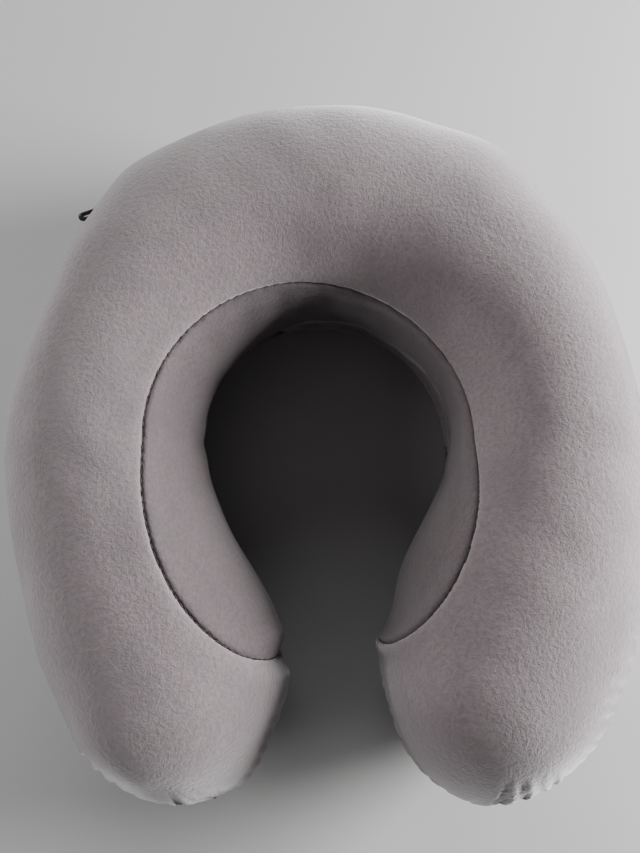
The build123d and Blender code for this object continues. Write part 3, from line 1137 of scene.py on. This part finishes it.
neck_lines = [smoothed(line, 3) for line in neck_lines]
edge_lines = [smoothed(line, 3) for line in edge_lines]
sewn_row(
    "neck_stitches_upper", neck_lines, STITCH_DEPTH, lambda point: point.z >= SEAM_Z,
    "neck_seam_thread_upper", "seam_thread",
)
sewn_row(
    "neck_stitches_lower", neck_lines, STITCH_DEPTH, lambda point: over_table(point) and point.z < SEAM_Z,
    "neck_seam_thread_lower", "seam_thread",
)
sewn_row("edge_stitches", edge_lines, STITCH_DEPTH, clear_of_zipper, "edge_seam_thread", "seam_thread")
for name, side in (("upper", 1), ("lower", -1)):
    line = back_line(form, SEAM_Z + side * (SLOT_HALF + TOPSTITCH_OFFSET), ZIP_HALF_ANGLE)
    sewn_row(
        f"zipper_topstitch_{name}", [line], TOPSTITCH_DEPTH, lambda point: True,
        f"zipper_stitching_{name}", "zipper_thread",
    )

def round_the_back(angle):
    """Directions out of the back arc and along it, at an angle from its middle."""
    outward = Vector((-math.sin(angle), math.cos(angle), 0))
    return outward, Vector((-outward.y, outward.x, 0))


# Nylon coil of the zipper, one loop modelled and repeated
TOOTH_PITCH = 2.4 * MM
TOOTH_WIDTH = 1.3 * MM
TOOTH_HEIGHT = 2.5 * MM
TOOTH_LOW = 0.5 * MM
COIL_WALL = 1.4 * MM
COIL_DEPTH = 0.9 * MM
TACK_ROOM = 3 * MM
TOOTH_STEP = TOOTH_PITCH / BACK_RADIUS
TEETH = int(2 * (ZIP_HALF_ANGLE - (TACK_ROOM + TOOTH_WIDTH / 2) / BACK_RADIUS) / TOOTH_STEP)
coil_radius = BACK_RADIUS - COIL_DEPTH - COIL_WALL / 2
for name, side in (("upper", 1), ("lower", -1)):
    places = []
    for count in range(TEETH):
        angle = TOOTH_STEP * (count - (TEETH - 1) / 2 + side / 4)
        outward, along = round_the_back(angle)
        centre = Vector((0, BACK_Y, SEAM_Z + side * (TOOTH_LOW + TOOTH_HEIGHT / 2))) + outward * coil_radius
        places.append((centre, outward, along * side, Vector((0, 0, -side))))
    coil = copies_in_rows(f"nylon_coil_{name}", model_tooth(TOOTH_WIDTH, COIL_WALL, TOOTH_HEIGHT), places)
    place_piece(coil, "pillow", [f"zipper_coil_{name}"], "zipper_coil")

# Bar tacks: a few long threads side by side across each end of the chain
for name, side in (("left", 1), ("right", -1)):
    places = []
    for count in range(TACK_THREADS):
        angle = side * (ZIP_HALF_ANGLE - (TACK_INSET + count * TACK_SPACING) / BACK_RADIUS)
        outward, along = round_the_back(angle)
        centre = Vector((0, BACK_Y, SEAM_Z)) + outward * (BACK_RADIUS - TACK_DEPTH)
        places.append((centre, outward, along, Vector((0, 0, 1))))
    tack = copies_in_rows(f"bar_tack_{name}", model_stitch(TACK_LENGTH, STITCH_THICKNESS), places)
    place_piece(tack, "pillow", [f"zipper_end_tack_{name}"], "zipper_thread")

bpy.data.objects.remove(form)


MERGE_GAP = 0.002 * MM
SMOOTH_ANGLE = math.radians(32)
EDGE_ANGLE = math.radians(38)


def merged_copy(node, name):
    """A copy of a CAD node's mesh with its faces joined up, ready to be finished by hand."""
    mesh = frame["nodes"][node].data.copy()
    mesh.name = name
    piece = new_object(name, mesh)
    begin_edit(piece)
    bpy.ops.mesh.select_all(action="SELECT")
    bpy.ops.mesh.remove_doubles(threshold=MERGE_GAP)
    bpy.ops.mesh.dissolve_limited(angle_limit=math.radians(2))
    bpy.ops.mesh.normals_make_consistent(inside=False)
    end_edit()
    return piece


def round_edges(piece, width):
    piece.select_set(True)
    finish_with(piece, "BEVEL", width=width, segments=2, limit_method="ANGLE", angle_limit=EDGE_ANGLE)
    bpy.ops.object.shade_smooth_by_angle(angle=SMOOTH_ANGLE)
    piece.select_set(False)


slider = merged_copy("zipper_slider_body", "slider_body")
round_edges(slider, 0.22 * MM)
place_piece(slider, "slider", ["zipper_slider_body"], "slider_metal")

# Pull tab: a flat plate forked round the slider's bridge, with a slot and a raised rim, and its bar
PULL_SWING = math.radians(24)
PULL_LENGTH = 26 * MM
PULL_WIDTH = 6.8 * MM
PULL_WALL = 1.2 * MM
FIELD_WALL = 0.8 * MM
RIM_WIDTH = 0.75 * MM
FORK_LENGTH = 3.2 * MM
FORK_GAP = 2.8 * MM
END_ROUNDING = 3.1 * MM
SLOT_LENGTH = 10 * MM
SLOT_WIDTH = 2.6 * MM
SLOT_END = 2.2 * MM


def arc_points(x, y, radius, first, last, steps=10):
    angles = [math.radians(first + (last - first) * i / steps) for i in range(steps + 1)]
    return [(x + radius * math.cos(angle), y + radius * math.sin(angle)) for angle in angles]


def slot_outline(first, last, width):
    """A long hole with round ends, between two places on the middle line."""
    radius = width / 2
    return arc_points(last - radius, 0, radius, -90, 90) + arc_points(first + radius, 0, radius, 90, 270)


def flat_plate(name, outlines, wall, bevel):
    """A plate cut to its outlines, the later ones being holes, with its edges rounded."""
    curve = bpy.data.curves.new(name, "CURVE")
    curve.dimensions = "2D"
    curve.fill_mode = "BOTH"
    curve.extrude = wall / 2 - bevel
    curve.bevel_depth = bevel
    curve.bevel_resolution = 1
    curve.offset = -bevel
    for outline in outlines:
        spline = curve.splines.new("POLY")
        spline.points.add(len(outline) - 1)
        for place, (x, y) in zip(spline.points, outline):
            place.co = (x, y, 0, 1)
        spline.use_cyclic_u = True
    plate = new_object(name, curve)
    bpy.context.view_layer.objects.active = plate
    plate.select_set(True)
    bpy.ops.object.convert(target="MESH")
    begin_edit(plate)
    bpy.ops.mesh.select_all(action="SELECT")
    bpy.ops.mesh.remove_doubles(threshold=MERGE_GAP)
    bpy.ops.mesh.normals_make_consistent(inside=False)
    end_edit()
    return plate


def rounded_end(half, end, rounding):
    """Two rounded corners at the free end of a plate, from one long side to the other."""
    first = arc_points(end - rounding, rounding - half, rounding, -90, 0)
    return first + arc_points(end - rounding, half - rounding, rounding, 0, 90)


def pull_outline(inset):
    """The forked outline of the pull tab, drawn in by an even amount."""
    half, fork, end = PULL_WIDTH / 2 - inset, FORK_GAP / 2, PULL_LENGTH - inset
    outline = [(0, -half)] + rounded_end(half, end, END_ROUNDING - inset)
    outline += [(0, half), (0, fork), (FORK_LENGTH, fork), (FORK_LENGTH, -fork), (0, -fork)]
    return outline


def model_pull():
    slot_first, slot_last = PULL_LENGTH - SLOT_END - SLOT_LENGTH, PULL_LENGTH - SLOT_END
    hole = slot_outline(slot_first, slot_last, SLOT_WIDTH)
    field = flat_plate("pull_field", [pull_outline(RIM_WIDTH / 3), hole], FIELD_WALL, 0.1 * MM)
    start, end = FORK_LENGTH + RIM_WIDTH * 1.4, PULL_LENGTH - RIM_WIDTH
    half = PULL_WIDTH / 2 - RIM_WIDTH
    opening = [(start, half), (start, -half)] + rounded_end(half, end, END_ROUNDING - RIM_WIDTH)
    rim = flat_plate("pull_rim", [pull_outline(0), opening], PULL_WALL, 0.16 * MM)
    eye_outline = slot_outline(slot_first - RIM_WIDTH, slot_last + RIM_WIDTH, SLOT_WIDTH + 2 * RIM_WIDTH)
    eye = flat_plate("pull_eye", [eye_outline, hole], PULL_WALL, 0.16 * MM)
    bpy.ops.mesh.primitive_cylinder_add(
        vertices=24, radius=PULL_WALL / 2, depth=PULL_WIDTH, rotation=(math.radians(90), 0, 0)
    )
    bar = bpy.context.object
    round_edges(bar, 0.12 * MM)
    bpy.ops.object.select_all(action="DESELECT")
    for piece in (field, eye, bar, rim):
        piece.select_set(True)
    bpy.context.view_layer.objects.active = rim
    bpy.ops.object.join()
    rim.name = "pull_tab"
    rim.data.name = "pull_tab"
    heading = math.atan2(pull_joint["pos_m"][1] - BACK_Y, pull_joint["pos_m"][0]) - PULL_SWING
    outward = Vector((math.cos(heading), math.sin(heading), 0))
    along = Vector((-outward.y, outward.x, 0))
    turn = Matrix((along, outward.cross(along), outward)).transposed()
    rim.matrix_world = Matrix.Translation(Vector(pull_joint["pos_m"])) @ turn.to_4x4()
    bpy.ops.object.transform_apply(location=True, rotation=True, scale=True)
    bpy.ops.object.shade_smooth_by_angle(angle=SMOOTH_ANGLE)
    rim.select_set(False)
    return rim


place_piece(model_pull(), "pull", ["zipper_pull_tab"], "pull_metal")

for name, side in (("upper", 1), ("lower", -1)):
    set_material(frame["nodes"][f"zipper_tape_{name}"], FINISHES["zipper_tape"])
